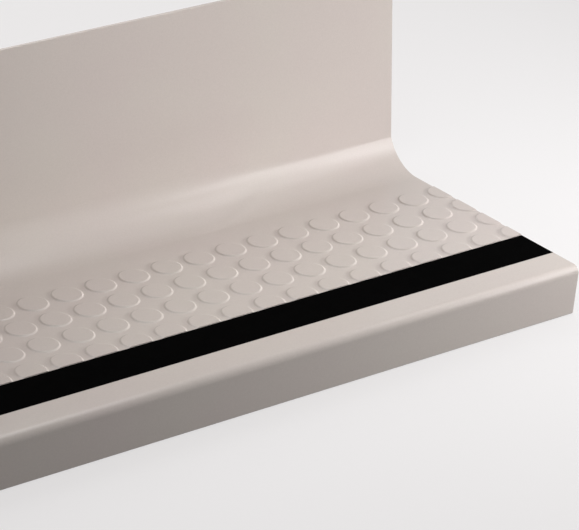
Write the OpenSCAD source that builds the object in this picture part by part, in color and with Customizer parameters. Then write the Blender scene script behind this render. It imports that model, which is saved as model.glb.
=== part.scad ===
// Stair tread of moulded rubber. One piece runs from the nose that hooks over the front of
// the step, across the studded tread and up a coved riser. A black contrast strip lies flush
// in a groove behind the nose.
// The section is drawn level, as it sits on a step: Y runs back from the front of the nose,
// and Z up from the top of the tread. The part then leans back until the foot of the nose
// and the heel both touch the floor, which is how it rests when nothing holds it.
// All sizes are in millimetres and all angles in degrees.

/* [Tread] */
// Length of the tread along the step
tread_length = 914; // [300:1:1830]
// Depth from the front of the nose to the foot of the riser
tread_depth = 270; // [250:1:360]
// Thickness of the tread
tread_thickness = 4.8; // [3.5:0.1:8]

/* [Nose] */
// Height from the foot of the nose to the top of the tread
nose_height = 48; // [30:1:70]
// Thickness of the nose at its foot
nose_thickness = 4; // [3:0.1:8]
// Angle at which the front of the nose slopes back towards its foot
nose_rake = 3.7; // [0:0.1:10]
// Radius of the nose's front edge
nose_radius = 7; // [3:0.5:12]
// Radius inside the nose, where it meets the edge of the step
nose_inner_radius = 3; // [1:0.5:6]
// Radius along the foot of the nose
foot_radius = 1.5; // [0.5:0.1:2]

/* [Cove] */
// Radius of the cove between tread and riser
cove_radius = 45.5; // [20:0.5:60]
// Angle that the cove turns through before the riser rises from it
cove_angle = 66; // [45:1:80]

/* [Riser] */
// Height of the riser above the tread
riser_height = 197; // [120:1:220]
// Thickness of the riser
riser_thickness = 3.2; // [2:0.1:4.5]
// Angle at which the riser leans back
riser_lean = 4.7; // [0:0.1:8]
// Radius along the top edge of the riser
rim_radius = 0.8; // [0.3:0.1:0.9]

/* [Studs] */
// Distance between the centres of neighbouring studs
stud_pitch = 35.1; // [30:0.1:60]
// Diameter of a stud at its foot
stud_diameter = 29; // [12:0.5:29]
// Height of a stud
stud_height = 0.8; // [0.4:0.1:2]
// Width of the sloping rim round a stud
stud_bevel = 1.5; // [0.3:0.1:2]
// Distance from the front of the nose to the centres of the front row
stud_setback = 87; // [80:0.5:120]

/* [Contrast strip] */
// Distance from the front of the nose to the strip
strip_setback = 35.5; // [15:0.5:50]
// Width of the strip
strip_width = 44; // [20:0.5:60]
// Thickness of the strip
strip_thickness = 2.5; // [1:0.1:3]
// Gap between the strip and each side of its groove
strip_clearance = 0.15; // [0.05:0.05:0.5]

/* [Hidden] */
$fn = 96;
RUBBER = [0.80, 0.76, 0.72];
BLACK = [0.03, 0.03, 0.03];

// How far a shape that cuts or fills runs past the faces that it meets
OVERRUN = 1;
// How far an arc reaches over the sides that it runs into, so that it cleanly crosses them
ARC_LAP = 0.002;

// The corners of the section, going round from the front of the nose
FRONT = [0, 0];
FOOT_FRONT = [nose_height * tan(nose_rake), -nose_height];
FOOT_BACK = FOOT_FRONT + [nose_thickness, 0];
INSIDE_NOSE = [FOOT_BACK[0], -tread_thickness];
RISER_FOOT = [tread_depth, 0];
RIM_FRONT = RISER_FOOT + riser_height * [tan(riser_lean), 1];
RIM_BACK = RIM_FRONT + [riser_thickness / cos(riser_lean), 0];
HEEL = RIM_BACK - (riser_height + tread_thickness) * [tan(riser_lean), 1];
SECTION = [FRONT, FOOT_FRONT, FOOT_BACK, INSIDE_NOSE, HEEL, RIM_BACK, RIM_FRONT, RISER_FOOT];
// The radius at each of those corners, where an arc rounds it that runs smoothly into both sides
RADII = [nose_radius, foot_radius, foot_radius, nose_inner_radius, 0, rim_radius, rim_radius, 0];
OUTER_CORNERS = [0, 1, 2, 5, 6];
INNER_CORNERS = [3];

// The cove and the heel are arcs round one centre. They run smoothly out of the tread, and
// the riser rises from them at a slight crease.
CREASE_HEIGHT = cove_radius * (1 - cos(cove_angle));
COVE_START = tread_depth + CREASE_HEIGHT * tan(riser_lean) - cove_radius * sin(cove_angle);
COVE_CENTRE = [COVE_START, cove_radius];
HEEL_RADIUS = cove_radius + tread_thickness;

// The part rests on the round back edge of its foot and on its round heel, so both arcs
// reach down to the floor at the angle REST_LEAN
FOOT_TO_HEEL = COVE_CENTRE - arc_centre(2);
REST_LEAN = asin((HEEL_RADIUS - foot_radius) / norm(FOOT_TO_HEEL)) - slope(FOOT_TO_HEEL);
FLOOR = leaned(arc_centre(2))[1] - foot_radius;
FRONTMOST = leaned(arc_centre(1))[0] - foot_radius;
REARMOST = leaned(arc_centre(5))[0] + rim_radius;

// Studs fill the flat between the strip and the cove, centred along the tread
STUD_ROWS = 1 + floor((COVE_START - stud_setback - stud_diameter / 2) / stud_pitch);
STUD_COLUMNS = 1 + floor(tread_length / stud_pitch);
STRIP_BACK = strip_setback + strip_width;

// Direction from one point to another, as a vector of length 1
function heading(from, to) = (to - from) / norm(to - from);
// Angle of a vector above the horizontal
function slope(v) = atan2(v[1], v[0]);
// A point of the level section, leaned back to rest
function leaned(p) =
    [p[0] * cos(REST_LEAN) - p[1] * sin(REST_LEAN), p[0] * sin(REST_LEAN) + p[1] * cos(REST_LEAN)];
// Headings from a corner of the section along the two sides that meet there
function side_before(i) = heading(SECTION[i], SECTION[(i + len(SECTION) - 1) % len(SECTION)]);
function side_after(i) = heading(SECTION[i], SECTION[(i + 1) % len(SECTION)]);
// Half of the angle between those sides
function half_angle(i) = acos(side_before(i) * side_after(i)) / 2;
// Distance from a corner to either end of the arc that rounds it
function arc_reach(i) = RADII[i] / tan(half_angle(i));
// Centre of the arc that rounds a corner
function arc_centre(i) =
    SECTION[i] + RADII[i] / sin(half_angle(i)) * heading([0, 0], side_before(i) + side_after(i));

// What lies between an arc and the corner outside it. The points given run from one end of
// the arc over the corner to the other end, and the shape reaches a little past them.
module arc_sliver(centre, radius, points) {
    difference() {
        polygon([centre, for (point = points) centre + (1 + OVERRUN / radius) * (point - centre)]);
        translate(centre) circle(radius + ARC_LAP);
    }
}

// The sliver between a corner of the section and the arc that rounds it
module corner_sliver(i) {
    arc_sliver(arc_centre(i), RADII[i], [
        SECTION[i] + arc_reach(i) * side_before(i),
        SECTION[i],
        SECTION[i] + arc_reach(i) * side_after(i)
    ]);
}

// How far up a face of the riser from its foot the arc of that radius round the cove's centre meets it
function rise_to_arc(foot, radius) =
    let (offset = foot - COVE_CENTRE, along = offset * heading(RISER_FOOT, RIM_FRONT))
    -along - sqrt(along ^ 2 - offset * offset + radius ^ 2);

// The sliver between the foot of one face of the riser and the arc that takes its place. It
// reaches past the crease, where the arc runs into the riser's other side.
module cove_sliver(foot, radius) {
    past_crease = rise_to_arc(foot, radius) + OVERRUN;
    arc_sliver(COVE_CENTRE, radius, [
        [COVE_START, foot[1]],
        foot,
        foot + past_crease * heading(RISER_FOOT, RIM_FRONT)
    ]);
}

// The section with its inner corners filled and its outer corners rounded
module rounded_section() {
    difference() {
        union() {
            polygon(SECTION);
            for (i = INNER_CORNERS) corner_sliver(i);
            cove_sliver(RISER_FOOT, cove_radius);
        }
        for (i = OUTER_CORNERS) corner_sliver(i);
        cove_sliver(HEEL, HEEL_RADIUS);
    }
}

// Groove that the contrast strip lies in
module groove_section() {
    translate([strip_setback, -strip_thickness]) square([strip_width, strip_thickness + OVERRUN]);
}

// Runs a section of the part along the whole tread
module along_tread() {
    rotate([90, 0, 90]) linear_extrude(tread_length, center = true) children();
}

// One low round stud with a sloping rim, rooted in the tread
module stud() {
    widening = OVERRUN * stud_bevel / stud_height;
    translate([0, 0, -OVERRUN])
        cylinder(
            h = stud_height + OVERRUN,
            r1 = stud_diameter / 2 + widening,
            r2 = stud_diameter / 2 - stud_bevel
        );
}

// The square pattern of studs, cut off at the ends of the tread and at the strip
module stud_field() {
    first_x = -(STUD_COLUMNS - 1) / 2 * stud_pitch;
    intersection() {
        for (column = [0 : STUD_COLUMNS - 1], row = [0 : STUD_ROWS - 1])
            translate([first_x + column * stud_pitch, stud_setback + row * stud_pitch, 0]) stud();
        translate([-tread_length / 2, STRIP_BACK, -OVERRUN])
            cube([tread_length, tread_depth, stud_height + 2 * OVERRUN]);
    }
}

// Leans the level part back onto the floor and centres it over the origin
module at_rest() {
    translate([0, -(FRONTMOST + REARMOST) / 2, -FLOOR]) rotate([REST_LEAN, 0, 0]) children();
}

module stair_tread() {
    color(RUBBER) at_rest() union() {
        along_tread() difference() {
            rounded_section();
            groove_section();
        }
        stud_field();
    }
}

module contrast_strip() {
    color(BLACK) at_rest() along_tread()
        translate([strip_setback + strip_clearance, -strip_thickness])
            square([strip_width - 2 * strip_clearance, strip_thickness]);
}

stair_tread();
contrast_strip();
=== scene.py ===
import math

import bmesh
import bpy
from mathutils import Matrix, Vector


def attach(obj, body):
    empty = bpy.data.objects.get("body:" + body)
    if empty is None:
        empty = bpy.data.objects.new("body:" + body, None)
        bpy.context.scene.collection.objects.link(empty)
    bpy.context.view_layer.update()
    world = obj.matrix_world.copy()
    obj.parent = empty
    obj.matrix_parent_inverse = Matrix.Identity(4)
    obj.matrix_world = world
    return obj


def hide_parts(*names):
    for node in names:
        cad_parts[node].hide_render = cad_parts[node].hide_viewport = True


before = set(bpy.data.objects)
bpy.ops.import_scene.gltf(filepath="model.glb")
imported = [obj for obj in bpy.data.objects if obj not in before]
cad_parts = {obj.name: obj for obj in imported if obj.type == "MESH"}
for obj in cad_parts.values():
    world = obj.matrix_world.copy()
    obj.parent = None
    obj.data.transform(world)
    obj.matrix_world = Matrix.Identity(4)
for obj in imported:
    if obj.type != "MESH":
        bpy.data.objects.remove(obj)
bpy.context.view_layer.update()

MM = 0.001

# Sizes of the part in millimetres and degrees, as in its source
TREAD_LENGTH = 914
TREAD_DEPTH = 270
TREAD_THICKNESS = 4.8
NOSE_HEIGHT = 48
NOSE_THICKNESS = 4
NOSE_RAKE = 3.7
NOSE_RADIUS = 7
NOSE_INNER_RADIUS = 3
FOOT_RADIUS = 1.5
COVE_RADIUS = 45.5
COVE_ANGLE = 66
RISER_HEIGHT = 197
RISER_THICKNESS = 3.2
RISER_LEAN = 4.7
RIM_RADIUS = 0.8
STUD_PITCH = 35.1
STUD_DIAMETER = 29
STUD_HEIGHT = 0.8
STUD_BEVEL = 1.5
STUD_SETBACK = 87
STRIP_SETBACK = 35.5
STRIP_WIDTH = 44
STRIP_THICKNESS = 2.5
STRIP_CLEARANCE = 0.15

# Small roundings that only the visual model has
STUD_FOOT_FILLET = 1.2
STUD_RIM_FILLET = 1.2
STRIP_EDGE_RADIUS = 0.25
# The crease over the cove is sharp at the right end and fades over a stretch to its left
CREASE_SHARP_RADIUS = 5
CREASE_FADED_RADIUS = 42.5
CREASE_FADE_LENGTH = 220

# How finely curves are divided
SIDE_STEPS = 15         # along each side of a stud's square cell
FILLET_STEPS = 3
NOSE_STEPS = 18
SMALL_ARC_STEPS = 6
COVE_STEPS = 30
CREASE_STEPS = 12

# Lengths of flat kept beside an arc, so that its shading stays off the rest of the flat
HOLD = 0.6
SMALL_HOLD = 0.3
STUD_HOLD = 0.2

# Distances within which vertices are merged, lie on a line, or lie on a cut
MERGE_DISTANCE = 1e-3
LINE_TOLERANCE = 2e-3
CUT_TOLERANCE = 1e-4
# Degrees of a fold from which its edge stays sharp
SHARP_FOLD = 35
QUARTER_TURN = math.pi / 2
# Axes of the level part: along the tread, and from its front to its back
X, Y = 0, 1


# The level section

def heading(start, end):
    return (end - start).normalized()


def arc(centre, start, end, steps):
    """Points from start to end on an arc round centre, both ends included."""
    first, last = start - centre, end - centre
    turn = math.atan2(first.x * last.y - first.y * last.x, first.dot(last))
    return [centre + Matrix.Rotation(turn * i / steps, 2) @ first for i in range(steps + 1)]


def corner_centre(before, corner, after, radius):
    """The centre of the arc that rounds a corner."""
    a, b = heading(corner, before), heading(corner, after)
    return corner + (a + b).normalized() * (radius / math.sin(a.angle(b) / 2))


def round_corner(before, corner, after, radius, steps, hold=HOLD):
    """The arc that rounds a corner, with a point on the flat beyond each of its ends."""
    a, b = heading(corner, before), heading(corner, after)
    reach = radius / math.tan(a.angle(b) / 2)
    centre = corner_centre(before, corner, after, radius)
    return [
        corner + a * (reach + hold),
        *arc(centre, corner + a * reach, corner + b * reach, steps),
        corner + b * (reach + hold),
    ]


def rise_to_arc(foot, radius):
    """How far up a face of the riser from its foot the cove's arc of that radius meets it."""
    offset = foot - cove_centre
    along = offset.dot(up_riser)
    return -along - math.sqrt(along ** 2 - offset.length_squared + radius ** 2)


# Points of the section are at (distance back from the nose, height over the tread's top)
front = Vector((0, 0))
foot_front = Vector((NOSE_HEIGHT * math.tan(math.radians(NOSE_RAKE)), -NOSE_HEIGHT))
foot_back = foot_front + Vector((NOSE_THICKNESS, 0))
inside_nose = Vector((foot_back.x, -TREAD_THICKNESS))
riser_slope = Vector((math.tan(math.radians(RISER_LEAN)), 1))
up_riser = riser_slope.normalized()
riser_foot = Vector((TREAD_DEPTH, 0))
rim_front = riser_foot + RISER_HEIGHT * riser_slope
rim_back = rim_front + Vector((RISER_THICKNESS / math.cos(math.radians(RISER_LEAN)), 0))
heel = rim_back - (RISER_HEIGHT + TREAD_THICKNESS) * riser_slope

crease_height = COVE_RADIUS * (1 - math.cos(math.radians(COVE_ANGLE)))
cove_start = (
    TREAD_DEPTH
    + crease_height * riser_slope.x
    - COVE_RADIUS * math.sin(math.radians(COVE_ANGLE))
)
cove_centre = Vector((cove_start, COVE_RADIUS))
heel_radius = COVE_RADIUS + TREAD_THICKNESS
heel_crease = heel + rise_to_arc(heel, heel_radius) * up_riser

strip_back = STRIP_SETBACK + STRIP_WIDTH
stud_rows = 1 + math.floor((cove_start - STUD_SETBACK - STUD_DIAMETER / 2) / STUD_PITCH)
stud_columns = 1 + math.floor(TREAD_LENGTH / STUD_PITCH)
field_back = STUD_SETBACK + (stud_rows - 0.5) * STUD_PITCH


def cove_and_crease(radius):
    """The cove from the flat up to the riser, with its crease rounded to a radius."""
    to_riser = Vector((up_riser.y, -up_riser.x))
    distance = (riser_foot - cove_centre).dot(to_riser)
    turn = math.acos((distance - radius) / (COVE_RADIUS - radius))
    to_meeting = Matrix.Rotation(-turn, 2) @ to_riser
    meeting = cove_centre + COVE_RADIUS * to_meeting
    crease_centre = cove_centre + (COVE_RADIUS - radius) * to_meeting
    top = crease_centre + radius * to_riser
    return [
        *arc(cove_centre, Vector((cove_start, 0)), meeting, COVE_STEPS),
        *arc(crease_centre, meeting, top, CREASE_STEPS)[1:],
        top + HOLD * up_riser,
    ]


def crease_radius(x):
    """Radius of the crease at a place along the tread, which eases from sharp to faded."""
    faded = min((TREAD_LENGTH / 2 - x) / CREASE_FADE_LENGTH, 1)
    faded *= faded * (3 - 2 * faded)
    return CREASE_SHARP_RADIUS + faded * (CREASE_FADED_RADIUS - CREASE_SHARP_RADIUS)


# The rest of the section, from the rim of the riser round to the floor of the groove
outline = [
    *round_corner(riser_foot, rim_front, rim_back, RIM_RADIUS, SMALL_ARC_STEPS, SMALL_HOLD),
    *round_corner(rim_front, rim_back, heel, RIM_RADIUS, SMALL_ARC_STEPS, SMALL_HOLD),
    heel_crease + HOLD * up_riser,
    *arc(cove_centre, heel_crease, Vector((cove_start, -TREAD_THICKNESS)), COVE_STEPS),
    Vector((cove_start - HOLD, -TREAD_THICKNESS)),
    *round_corner(heel, inside_nose, foot_back, NOSE_INNER_RADIUS, SMALL_ARC_STEPS),
    *round_corner(inside_nose, foot_back, foot_front, FOOT_RADIUS, SMALL_ARC_STEPS, SMALL_HOLD),
    *round_corner(foot_back, foot_front, front, FOOT_RADIUS, SMALL_ARC_STEPS, SMALL_HOLD),
    *round_corner(foot_front, front, riser_foot, NOSE_RADIUS, NOSE_STEPS),
    Vector((STRIP_SETBACK, 0)),
    Vector((STRIP_SETBACK, -STRIP_THICKNESS)),
    Vector((strip_back, -STRIP_THICKNESS)),
]


def tread_section(x):
    """The section from the end of the flat all the way round to the floor of the groove."""
    return [Vector((cove_start - HOLD, 0)), *cove_and_crease(crease_radius(x)), *outline]


# From the level section to the part at rest

foot_centre = corner_centre(inside_nose, foot_back, foot_front, FOOT_RADIUS)
toe_centre = corner_centre(foot_back, foot_front, front, FOOT_RADIUS)
rim_centre = corner_centre(rim_front, rim_back, heel, RIM_RADIUS)
foot_to_heel = cove_centre - foot_centre
rest_lean = math.asin((heel_radius - FOOT_RADIUS) / foot_to_heel.length) - math.atan2(
    foot_to_heel.y, foot_to_heel.x
)
lean = Matrix.Rotation(rest_lean, 4, "X")


def leaned(point):
    """A point of the section, leaned back as the part is at rest."""
    return (lean @ Vector((0, *point))).yz


floor_level = leaned(foot_centre).y - FOOT_RADIUS
middle = (leaned(toe_centre).x - FOOT_RADIUS + leaned(rim_centre).x + RIM_RADIUS) / 2
# Takes level millimetres to metres in the frame, at rest
LEVEL_TO_REST = Matrix.Scale(MM, 4) @ Matrix.Translation((0, -middle, -floor_level)) @ lean


# Meshes

def finished_object(bm, name, node):
    """A smooth-shaded object that stands for a CAD node, with its folds kept sharp."""
    bmesh.ops.recalc_face_normals(bm, faces=bm.faces)
    for face in bm.faces:
        face.smooth = True
    for edge in bm.edges:
        edge.smooth = edge.calc_face_angle(math.pi) < math.radians(SHARP_FOLD)
    bmesh.ops.transform(bm, matrix=LEVEL_TO_REST, verts=bm.verts)
    mesh = bpy.data.meshes.new(name)
    bm.to_mesh(mesh)
    bm.free()
    piece = bpy.data.objects.new(name, mesh)
    bpy.context.collection.objects.link(piece)
    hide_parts(node)
    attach(piece, "root")
    return piece


def sweep(bm, section_at, stations):
    """Quads between the stations along an open section. Returns the rows of vertices."""
    columns = [[bm.verts.new((x, *point)) for point in section_at(x)] for x in stations]
    rows = list(zip(*columns))
    for row, next_row in zip(rows, rows[1:]):
        for i in range(len(stations) - 1):
            bm.faces.new((row[i], row[i + 1], next_row[i + 1], next_row[i]))
    return rows


def stud_rings():
    """Radius and height of each ring of a stud, from the flat round it to its top."""
    outward = Vector((1, 0))
    slope = Vector((-STUD_BEVEL, STUD_HEIGHT)).normalized()
    foot = Vector((STUD_DIAMETER / 2, 0))
    rim = Vector((STUD_DIAMETER / 2 - STUD_BEVEL, STUD_HEIGHT))
    foot_arc = round_corner(
        foot + outward, foot, foot + slope, STUD_FOOT_FILLET, FILLET_STEPS, STUD_HOLD
    )
    rim_arc = round_corner(
        rim - slope, rim, rim - outward, STUD_RIM_FILLET, FILLET_STEPS, STUD_HOLD
    )
    # The slope between the arcs is too short for a ring of its own
    return [*foot_arc[:-1], *rim_arc[1:]]


def stud_cell(bm, x, y, rings):
    """One stud and the square of flat round it."""
    half = STUD_PITCH / 2
    around = range(4 * SIDE_STEPS)
    square = []
    for i in around:
        side, step = divmod(i, SIDE_STEPS)
        along = -half + STUD_PITCH * step / SIDE_STEPS
        corner = Matrix.Rotation(side * QUARTER_TURN, 2) @ Vector((half, along))
        square.append(bm.verts.new((x + corner.x, y + corner.y, 0)))
    loops = [square]
    for ring in rings:
        angles = [QUARTER_TURN * (i / SIDE_STEPS - 0.5) for i in around]
        loops.append([
            bm.verts.new((x + ring.x * math.cos(a), y + ring.x * math.sin(a), ring.y))
            for a in angles
        ])
    for outer, inner in zip(loops, loops[1:]):
        for i in around:
            j = (i + 1) % len(around)
            bm.faces.new((outer[i], outer[j], inner[j], inner[i]))
    bm.faces.new(loops[-1])


def cut(bm, x, y, normal):
    """Cuts off what lies on the far side of an upright plane."""
    bmesh.ops.bisect_plane(
        bm,
        geom=[*bm.verts, *bm.edges, *bm.faces],
        dist=CUT_TOLERANCE,
        plane_co=(x, y, 0),
        plane_no=normal,
        clear_outer=True,
    )


def studded_field(bm):
    """The whole field of studs, cut off at the strip and at the ends of the tread."""
    rings = stud_rings()
    for column in range(stud_columns):
        for row in range(stud_rows):
            x = (column - (stud_columns - 1) / 2) * STUD_PITCH
            stud_cell(bm, x, STUD_SETBACK + row * STUD_PITCH, rings)
    bmesh.ops.remove_doubles(bm, verts=bm.verts, dist=MERGE_DISTANCE)
    cut(bm, 0, strip_back, (0, -1, 0))
    cut(bm, TREAD_LENGTH / 2, 0, (1, 0, 0))
    cut(bm, -TREAD_LENGTH / 2, 0, (-1, 0, 0))


def on_line(verts, axis, value, along):
    """Those of the vertices that lie where one coordinate has a value, in order along another."""
    found = (v for v in verts if abs(v.co[axis] - value) < LINE_TOLERANCE)
    return sorted(found, key=lambda v: v.co[along])


def close_up(bm, fine, coarse):
    """Faces between a row of many vertices and one of few, each of which has one to match."""
    start = 0
    for low, high in zip(coarse, coarse[1:]):
        end = next(i for i, v in enumerate(fine) if abs(v.co.x - high.co.x) < LINE_TOLERANCE)
        bm.faces.new((*fine[start : end + 1], high, low))
        start = end


def tread_mesh():
    """The field of studs, the section swept round from behind it to its front, and the ends."""
    bm = bmesh.new()
    studded_field(bm)
    field = list(bm.verts)
    end = TREAD_LENGTH / 2
    seams = [(column - stud_columns / 2) * STUD_PITCH for column in range(1, stud_columns)]
    stations = [-end, *seams, end]
    rows = sweep(bm, tread_section, stations)
    close_up(bm, on_line(field, Y, field_back, X), rows[0])
    close_up(bm, on_line(field, Y, strip_back, X), rows[-1])
    for x, i in ((-end, 0), (end, -1)):
        studs_cut = on_line(field, X, x, Y)
        bm.faces.new((*studs_cut, *(row[i] for row in rows)))
    return bm


def strip_mesh():
    """The contrast strip, with its upper edges rounded."""
    bm = bmesh.new()
    near, far = STRIP_SETBACK + STRIP_CLEARANCE, strip_back - STRIP_CLEARANCE
    corners = [
        Vector((near, -STRIP_THICKNESS)),
        Vector((near, 0)),
        Vector((far, 0)),
        Vector((far, -STRIP_THICKNESS)),
    ]
    section = [
        corners[0],
        *round_corner(*corners[0:3], STRIP_EDGE_RADIUS, SMALL_ARC_STEPS, SMALL_HOLD),
        *round_corner(*corners[1:4], STRIP_EDGE_RADIUS, SMALL_ARC_STEPS, SMALL_HOLD),
        corners[3],
    ]
    rows = sweep(bm, lambda x: [*section, section[0]], [-TREAD_LENGTH / 2, TREAD_LENGTH / 2])
    bmesh.ops.remove_doubles(bm, verts=bm.verts, dist=MERGE_DISTANCE)
    for i in (0, 1):
        bm.faces.new([row[i] for row in rows[:-1]])
    return bm


# Materials

# The range that most values of a noise texture lie in
NOISE_LOW = 0.3
NOISE_HIGH = 0.7
# Sockets of a Mix node that blends colours, by number because several have the same name
MIX_SHARE, MIX_A, MIX_B = 0, 6, 7
MIX_RESULT = 2
# The colour of a rubber's darker specks and of its lighter ones
PINKISH = ((0.582, 0.513, 0.481, 1), (0.612, 0.540, 0.507, 1))
GREENISH = ((0.586, 0.530, 0.487, 1), (0.616, 0.557, 0.513, 1))
BLACK = ((0.0009, 0.0009, 0.0009, 1), (0.0023, 0.0023, 0.0023, 1))


class Nodes:
    """The node tree of a material or world, with short ways to add to it."""

    def __init__(self, owner):
        self.owner = owner
        owner.use_nodes = True
        self.tree = owner.node_tree
        self.tree.nodes.clear()

    def add(self, kind, values=None, **settings):
        node = self.tree.nodes.new(kind)
        for key, value in settings.items():
            setattr(node, key, value)
        for key, value in (values or {}).items():
            self.put(node.inputs[key], value)
        return node

    def put(self, socket, value):
        if isinstance(value, bpy.types.NodeSocket):
            self.tree.links.new(value, socket)
        else:
            socket.default_value = value

    def noise(self, where, size_mm, detail=2, roughness=0.5):
        """Noise from 0 to 1 whose lumps are about size_mm across."""
        values = {
            "Vector": where,
            "Scale": 1 / (size_mm * MM),
            "Detail": detail,
            "Roughness": roughness,
        }
        return self.add("ShaderNodeTexNoise", values).outputs["Fac"]

    def spread(self, noise, low, high):
        """Noise brought from its usual range to another."""
        values = {
            "Value": noise,
            "From Min": NOISE_LOW,
            "From Max": NOISE_HIGH,
            "To Min": low,
            "To Max": high,
        }
        return self.add("ShaderNodeMapRange", values).outputs["Result"]

    def bump(self, height, depth_mm, strength, **below):
        """The normal of a surface with small bumps, over any other bumps given as Normal."""
        values = {"Height": height, "Distance": depth_mm * MM, "Strength": strength, **below}
        return self.add("ShaderNodeBump", values).outputs["Normal"]

    def math(self, operation, a, b):
        node = self.add("ShaderNodeMath", operation=operation)
        self.put(node.inputs[0], a)
        self.put(node.inputs[1], b)
        return node.outputs["Value"]

    def blend(self, share, a, b):
        """A colour between two others."""
        values = {MIX_SHARE: share, MIX_A: a, MIX_B: b}
        return self.add("ShaderNodeMix", values, data_type="RGBA").outputs[MIX_RESULT]

    def seen(self):
        """1 for the rays of the camera and of reflections, and 0 for those that carry light."""
        path = self.add("ShaderNodeLightPath").outputs
        mirrored = self.math("MAXIMUM", path["Is Glossy Ray"], path["Is Transmission Ray"])
        return self.math("MAXIMUM", path["Is Camera Ray"], mirrored)

    def finish(self, **inputs):
        """The material, with a shader that has these inputs."""
        shader = self.add("ShaderNodeBsdfPrincipled")
        for key, value in inputs.items():
            self.put(shader.inputs[key.replace("_", " ")], value)
        self.add("ShaderNodeOutputMaterial", {"Surface": shader.outputs["BSDF"]})
        return self.owner


def tread_rubber():
    """Light rubber whose tint, specks and gloss vary a little, with a fine grain and a swell."""
    n = Nodes(bpy.data.materials.new("moulded_rubber"))
    where = n.add("ShaderNodeTexCoord").outputs["Object"]
    cloud = n.spread(n.noise(where, size_mm=90, detail=3), 0, 1)
    speck = n.spread(n.noise(where, size_mm=1.4, detail=3), 0, 1)
    colour = n.blend(cloud, n.blend(speck, *PINKISH), n.blend(speck, *GREENISH))
    roughness = n.spread(n.noise(where, size_mm=35, detail=3), low=0.20, high=0.25)
    grain = n.bump(n.noise(where, size_mm=0.55), depth_mm=0.03, strength=0.35)
    swell = n.bump(n.noise(where, size_mm=24), depth_mm=0.25, strength=0.3, Normal=grain)
    return n.finish(Base_Color=colour, Roughness=roughness, Normal=swell, IOR=1.5)


def strip_rubber():
    """Dull black rubber with a coarser grain."""
    n = Nodes(bpy.data.materials.new("black_rubber"))
    where = n.add("ShaderNodeTexCoord").outputs["Object"]
    speck = n.spread(n.noise(where, size_mm=1.1, detail=3), 0, 1)
    colour = n.blend(speck, *BLACK)
    roughness = n.spread(n.noise(where, size_mm=12, detail=3), low=0.68, high=0.82)
    texture = n.noise(where, size_mm=0.7, detail=3, roughness=0.7)
    grain = n.bump(texture, depth_mm=0.08, strength=0.6)
    return n.finish(
        Base_Color=colour, Roughness=roughness, Normal=grain, Specular_IOR_Level=0.002
    )


tread = finished_object(tread_mesh(), "stair_tread_rubber", "stair_tread")
tread.data.materials.append(tread_rubber())

strip = finished_object(strip_mesh(), "contrast_strip_rubber", "contrast_strip")
strip.data.materials.append(strip_rubber())


# Floor and background

PALE = (0.871, 0.855, 0.855, 1)         # what the camera and reflections see of both
FLOOR_SHADE = (0.12, 0.12, 0.12, 1)     # what the floor gives back of the light
SKY_LIGHT = (0.2, 0.2, 0.2, 1)          # what the sky adds to the light
FLOOR_GLOW = 0.7                        # share of the paleness that no shadow takes away
FLOOR_SIZE = 60                         # in metres


def floor_material():
    n = Nodes(bpy.data.materials.new("floor"))
    seen = n.seen()
    shaded = tuple((1 - FLOOR_GLOW) * value for value in PALE[:3])
    colour = n.blend(seen, FLOOR_SHADE, (*shaded, 1))
    glow = n.math("MULTIPLY", seen, FLOOR_GLOW)
    return n.finish(
        Base_Color=colour,
        Roughness=0.9,
        Specular_IOR_Level=0.0,
        Emission_Color=PALE,
        Emission_Strength=glow,
    )


bpy.ops.mesh.primitive_plane_add(size=FLOOR_SIZE)
floor = bpy.context.object
floor.name = "floor"
floor.data.materials.append(floor_material())


def sky():
    n = Nodes(bpy.data.worlds.new("sky"))
    background = n.add("ShaderNodeBackground", {"Color": n.blend(n.seen(), SKY_LIGHT, PALE)})
    n.add("ShaderNodeOutputWorld", {"Surface": background.outputs["Background"]})
    return n.owner


bpy.context.scene.world = sky()


# Light

def from_level(x, y, z):
    """The place in the frame of a point in level millimetres from the tread's right end."""
    return LEVEL_TO_REST @ Vector((x + TREAD_LENGTH / 2, y, z))


def softbox(name, place, target, size, power, spread=180):
    """A square lamp, with its size in metres, its power in watts and its spread in degrees."""
    light = bpy.data.lights.new(name, "AREA")
    light.shape = "SQUARE"
    light.size = size
    light.energy = power
    light.spread = math.radians(spread)
    lamp = bpy.data.objects.new(name, light)
    lamp.location = from_level(*place)
    towards = (lamp.location - from_level(*target)).to_track_quat("Z", "Y")
    lamp.rotation_euler = towards.to_euler()
    lamp.visible_camera = False
    bpy.context.collection.objects.link(lamp)


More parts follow.
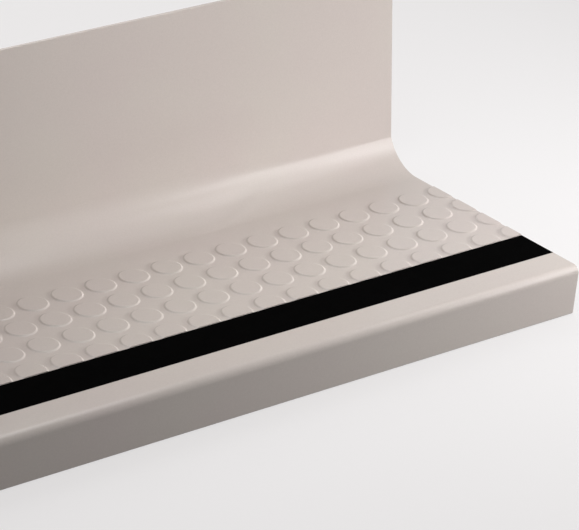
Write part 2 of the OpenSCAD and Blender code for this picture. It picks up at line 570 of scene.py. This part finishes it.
# A low lamp on the right draws the studs, and its narrow beam stays off the floor near it. Two in
# front of the right end make the bright band in the cove, which fades to the left, and two above
# the tread light its flat. A large one high up behind lights the flat from the back, and one
# further behind lights the back of the riser.
RIGHT_OF_FLAT = (-60, 120, 0)
softbox("side lamp", (1303, -496, 235), (0, 30, 60), size=0.12, power=1.9, spread=50)
softbox("cove lamp", (500, -200, 400), RIGHT_OF_FLAT, size=0.25, power=1.0)
softbox("low front lamp", (350, -350, 250), RIGHT_OF_FLAT, size=0.25, power=0.68)
softbox("near lamp", (150, 0, 350), RIGHT_OF_FLAT, size=0.25, power=0.31)
softbox("overhead lamp", (-350, 100, 450), (-350, 120, 0), size=0.35, power=0.51)
softbox("back lamp", (-300, 1700, 2000), (-300, 120, 30), size=2.5, power=30)
softbox("rear lamp", (-457, 2600, 1100), (-457, 290, 60), size=0.5, power=2.6, spread=70)


# Camera

# Fitted to the photograph: the place in level millimetres, then yaw from +Y towards +X, how far
# it looks down, and its roll in degrees
CAMERA_PLACE = (-1843.15, -1908.89, 1228.06)
CAMERA_YAW = 38.398
CAMERA_DOWN = 25.180
CAMERA_ROLL = 2.950
FOCAL_PIXELS = 3252.455
IMAGE_WIDTH = 579
# The fit counted pixels from the middle of the first one, which is half a pixel in
FIRST_PIXEL = 0.5
SENSOR_WIDTH = 36       # in millimetres
VIEW_DEPTH = 100        # in metres

camera = bpy.data.objects.new("camera", bpy.data.cameras.new("camera"))
bpy.context.collection.objects.link(camera)
bpy.context.scene.camera = camera
camera.data.sensor_width = SENSOR_WIDTH
camera.data.lens = FOCAL_PIXELS / IMAGE_WIDTH * SENSOR_WIDTH
camera.data.clip_end = VIEW_DEPTH
camera.data.shift_x = -FIRST_PIXEL / IMAGE_WIDTH
camera.data.shift_y = FIRST_PIXEL / IMAGE_WIDTH
aim = (
    lean
    @ Matrix.Rotation(math.radians(-CAMERA_YAW), 4, "Z")
    @ Matrix.Rotation(math.radians(90 - CAMERA_DOWN), 4, "X")
    @ Matrix.Rotation(math.radians(CAMERA_ROLL), 4, "Z")
)
camera.matrix_world = Matrix.Translation(from_level(*CAMERA_PLACE)) @ aim

bpy.context.scene.view_settings.view_transform = "Standard"
